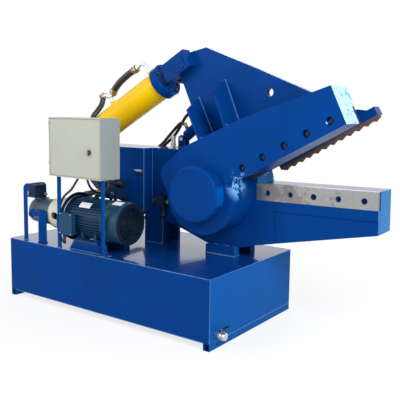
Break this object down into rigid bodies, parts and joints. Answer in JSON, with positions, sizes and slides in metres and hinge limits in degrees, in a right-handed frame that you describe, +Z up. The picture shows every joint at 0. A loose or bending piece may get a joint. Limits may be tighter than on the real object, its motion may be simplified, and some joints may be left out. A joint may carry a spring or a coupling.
{
  "type": "alligator shear",
  "caption": "Hydraulic alligator shear: fixed jaw and swinging arm with long blades, hold-down clamp, big cylinder, and an oil tank base with motor, pump and electric box.",
  "frame": {"origin": "centre of the machine's bounding box on the floor, under the tank", "axes": "+X along the machine from the pump end towards the jaws, +Y from the operator's side to the back, +Z up"},
  "size_m": [2.868, 1.142, 2.015],
  "materials": {
    "blue": "glossy royal blue enamel over steel",
    "blade_steel": "ground tool steel with light stains",
    "rusty_steel": "rusted bare steel",
    "bronze": "machined bearing bronze",
    "zinc_steel": "zinc-plated steel",
    "ground_steel": "machined steel",
    "chrome_rod": "hard chromed rod",
    "yellow": "glossy yellow enamel",
    "beige": "powder-coated sheet, warm grey",
    "teal": "semi-gloss teal motor paint",
    "cream": "matt cream primer",
    "pump_grey": "semi-gloss grey-blue paint",
    "valve_blue": "dark blue paint",
    "black_rubber": "black hydraulic hose rubber",
    "black_plastic": "matt black plastic",
    "cast_hub": "machined cast iron",
    "red_grip": "red dipped lever"
  },
  "bodies": {
    "root": {"oil_tank": "blue", "skid_tubes": "blue", "drain_valve": "blue", "main_frame": "blue", "foot_blocks": "blue", "deck_bolts": "zinc_steel", "lower_blade": "blade_steel", "lower_blade_bolts": "blue", "main_shaft": "ground_steel", "shaft_cap": "blue", "shaft_keeper": "blue", "clamp_valve": "zinc_steel", "base_pins": "zinc_steel", "control_box": "beige", "mounting_plate": "zinc_steel", "switchgear": "black_plastic", "box_posts": "blue", "motor_frame": "teal", "motor_front_shield": "teal", "motor_rear_shield": "teal", "fan_cowl": "teal", "motor_terminal_box": "teal", "stator_core": "ground_steel", "motor_bearings": "ground_steel", "motor_base": "blue", "bellhousing": "cream", "pump_body": "pump_grey", "suction_pipe": "blue", "hoop_guard": "blue", "pump_valve": "valve_blue", "control_valve": "valve_blue", "fixed_hoses": "black_rubber", "cylinder_hoses": "black_rubber", "clamp_hoses": "black_rubber", "cables": "black_rubber"},
    "arm": {"upper_arm": "blue", "upper_blade": "blade_steel", "upper_blade_bolts": "zinc_steel", "arm_bush": "bronze"},
    "clamp": {"clamp_arm": "blue", "toothed_bar": "rusty_steel", "clamp_bush": "bronze"},
    "cylinder": {"cylinder_barrel": "yellow", "cylinder_base_cap": "yellow", "cylinder_gland": "blue", "gland_bolts": "zinc_steel", "cylinder_fittings": "zinc_steel", "head_hose": "black_rubber"},
    "rod": {"piston_rod": "chrome_rod", "rod_fork": "blue", "tail_pin": "blue"},
    "clamp_tube": {"clamp_cylinder": "blue"},
    "clamp_piston": {"clamp_rod": "chrome_rod"},
    "door": {"box_door": "beige"},
    "lock": {"door_lock": "zinc_steel"},
    "rotor": {"rotor_shaft": "ground_steel", "cooling_fan": "black_plastic", "coupling_hubs": "cast_hub", "coupling_spider": "black_rubber"},
    "valve_lever": {"drain_lever": "red_grip"}
  },
  "joints": [
    {"name": "arm_swing", "type": "hinge", "parent": "root", "child": "arm", "pos_m": [0.209, -0.003, 0.962], "axis": [0, 1, 0], "range_deg": [0, 25]},
    {"name": "cylinder_swing", "type": "hinge", "parent": "root", "child": "cylinder", "pos_m": [-1.084, 0.096, 1.325], "axis": [0, 1, 0], "range_deg": [0, 6.31], "deforming": ["cylinder_hoses"]},
    {"name": "rod_slide", "type": "slide", "parent": "cylinder", "child": "rod", "axis": [0.8674, 0, 0.4976], "range_m": [0, 0.4021]},
    {"name": "clamp_swing", "type": "hinge", "parent": "root", "child": "clamp", "pos_m": [0.209, 0.377, 0.962], "axis": [0, 1, 0], "range_deg": [0, 8.3]},
    {"name": "clamp_cylinder_swing", "type": "hinge", "parent": "root", "child": "clamp_tube", "pos_m": [-0.324, 0.377, 1.318], "axis": [0, 1, 0], "range_deg": [0, 4.58], "deforming": ["clamp_hoses"]},
    {"name": "clamp_rod_slide", "type": "slide", "parent": "clamp_tube", "child": "clamp_piston", "axis": [0.7953, 0, 0.6062], "range_m": [0, 0.0878]},
    {"name": "door_swing", "type": "hinge", "parent": "root", "child": "door", "pos_m": [-0.903, -0.554, 1.265], "axis": [0, 0, -1], "range_deg": [0, 110]},
    {"name": "lock_turn", "type": "hinge", "parent": "door", "child": "lock", "pos_m": [-0.474, -0.559, 1.24], "axis": [0, 1, 0], "range_deg": [0, 90]},
    {"name": "rotor_spin", "type": "hinge", "parent": "root", "child": "rotor", "pos_m": [-0.634, -0.324, 0.705], "axis": [1, 0, 0], "continuous": true},
    {"name": "drain_lever_turn", "type": "hinge", "parent": "root", "child": "valve_lever", "pos_m": [0.628, -0.446, 0.128], "axis": [0, 0, -1], "range_deg": [0, 90]}
  ],
  "couplings": [
    {"joint": "cylinder_swing", "follows": "arm_swing", "ratio": 0.25027},
    {"joint": "rod_slide", "follows": "arm_swing", "m_per_rad": 0.91927},
    {"joint": "clamp_cylinder_swing", "follows": "clamp_swing", "ratio": 0.54571},
    {"joint": "clamp_rod_slide", "follows": "clamp_swing", "m_per_rad": 0.59885}
  ]
}
